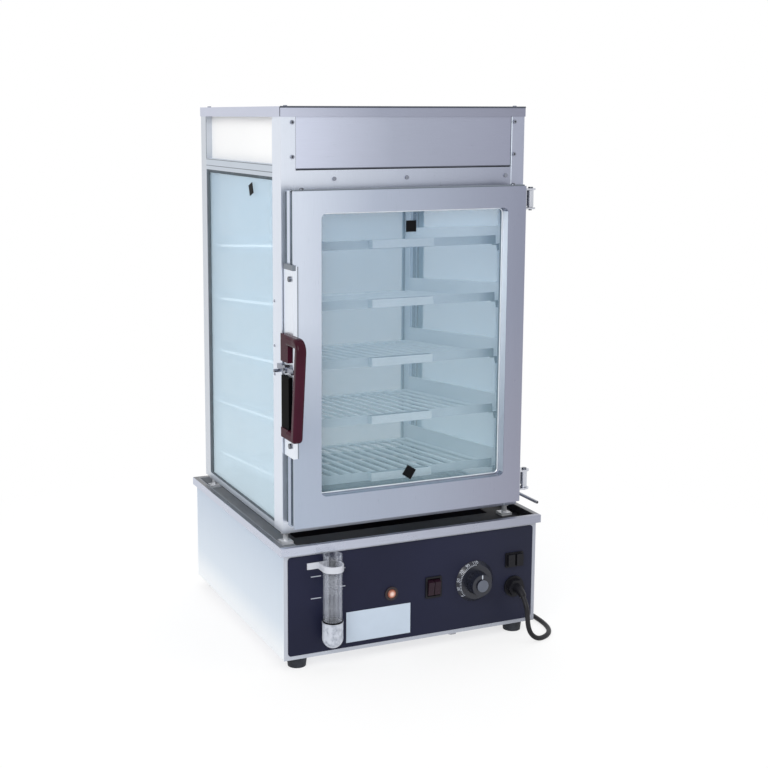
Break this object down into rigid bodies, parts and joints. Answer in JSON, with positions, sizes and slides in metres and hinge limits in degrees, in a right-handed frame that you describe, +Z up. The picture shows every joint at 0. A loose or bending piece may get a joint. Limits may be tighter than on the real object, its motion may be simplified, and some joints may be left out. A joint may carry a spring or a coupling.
{
  "type": "steamed bun cabinet",
  "caption": "Upright glazed steam cabinet on a water basin base, with a hinged glass door, sloped racks, a sight gauge, a thermostat dial and rocker switches.",
  "frame": {"origin": "on the floor, under the middle of the cabinet's box without the lead", "axes": "-Y is the front with the door and the controls, +X is to the right, +Z is up"},
  "size_m": [0.4587, 0.5884, 0.8126],
  "materials": {
    "stainless": "fine brushed, slightly blue",
    "stainless_tube": "drawn tube",
    "rack_steel": "wire and sheet, bright",
    "screw_steel": "plated",
    "navy_paint": "semi-gloss dark blue",
    "clear_glass": "clear, faintly green",
    "gauge_glass": "clear tube",
    "frosted_plastic": "clear moulding, frosted",
    "white_plastic": "moulded",
    "opal_plastic": "opal sheet",
    "black_plastic": "moulded, semi-gloss",
    "black_fitting": "moulded",
    "black_rubber": "matte",
    "orange_lamp": "clear orange",
    "red_rocker": "clear dark red",
    "maroon_plastic": "moulded, dark red-brown",
    "cord_sheath": "smooth sheath"
  },
  "bodies": {
    "cabinet": {"base_shell": "stainless", "base_bottom_plate": "stainless", "base_feet": "black_rubber", "base_fasteners": "screw_steel", "control_panel": "navy_paint", "basin": "stainless", "heating_element": "stainless_tube", "drain_pipe": "stainless_tube", "gauge_elbow": "frosted_plastic", "gauge_tube": "gauge_glass", "gauge_clip": "white_plastic", "indicator_lamp": "orange_lamp", "switch_frame": "black_plastic", "thermostat_body": "black_plastic", "fuse_holder": "black_plastic", "cable_gland": "black_fitting", "front_post_left": "stainless", "front_post_right": "stainless", "back_posts": "stainless", "top_cover": "stainless", "cabinet_screws": "screw_steel", "header_front_panel": "stainless", "header_side_panels": "opal_plastic", "header_back_panel": "stainless", "ceiling_panel": "stainless", "front_top_rail": "stainless", "front_sill": "stainless", "upper_rails": "stainless", "bottom_rails": "stainless", "glass_left": "clear_glass", "glass_right": "clear_glass", "glass_back": "clear_glass", "glass_seals": "black_rubber", "cabinet_feet": "stainless", "condensate_pipe": "stainless_tube", "rack_rails": "stainless", "post_hinges": "stainless", "power_cord": "cord_sheath", "cord_coil": "cord_sheath", "plug_body": "cord_sheath", "plug_pins": "screw_steel", "rack_1": "rack_steel", "rack_2": "rack_steel", "rack_3": "rack_steel", "rack_4": "rack_steel", "rack_5": "rack_steel"},
    "door": {"door_skin": "stainless", "door_inner_frame": "stainless", "door_glass": "clear_glass", "door_gasket": "black_rubber", "latch_plate": "stainless", "door_fasteners": "screw_steel", "door_handle": "maroon_plastic", "latch_cover": "black_plastic", "door_hinges": "stainless", "hinge_pins": "screw_steel"},
    "latch": {"latch_lever": "screw_steel"},
    "dial": {"thermostat_knob": "black_plastic"},
    "left_rocker": {"rocker_left": "red_rocker"},
    "right_rocker": {"rocker_right": "red_rocker"}
  },
  "joints": [
    {"name": "door_hinge", "type": "hinge", "parent": "cabinet", "child": "door", "pos_m": [0.193, -0.175, 0.4535], "axis": [0, 0, 1], "range_deg": [0, 165]},
    {"name": "latch_pivot", "type": "hinge", "parent": "door", "child": "latch", "pos_m": [-0.198, -0.169, 0.444], "axis": [1, 0, 0], "range_deg": [0, 10], "stiffness_Nm_per_rad": 0.1, "springref_deg": -5.73},
    {"name": "dial_turn", "type": "hinge", "parent": "cabinet", "child": "dial", "pos_m": [0.102, -0.1973, 0.096], "axis": [0, 1, 0], "range_deg": [0, 270]},
    {"name": "left_rocker_tilt", "type": "hinge", "parent": "cabinet", "child": "left_rocker", "pos_m": [0.0262, -0.1823, 0.096], "axis": [-1, 0, 0], "range_deg": [0, 14]},
    {"name": "right_rocker_tilt", "type": "hinge", "parent": "cabinet", "child": "right_rocker", "pos_m": [0.0368, -0.1823, 0.096], "axis": [-1, 0, 0], "range_deg": [0, 14]}
  ]
}
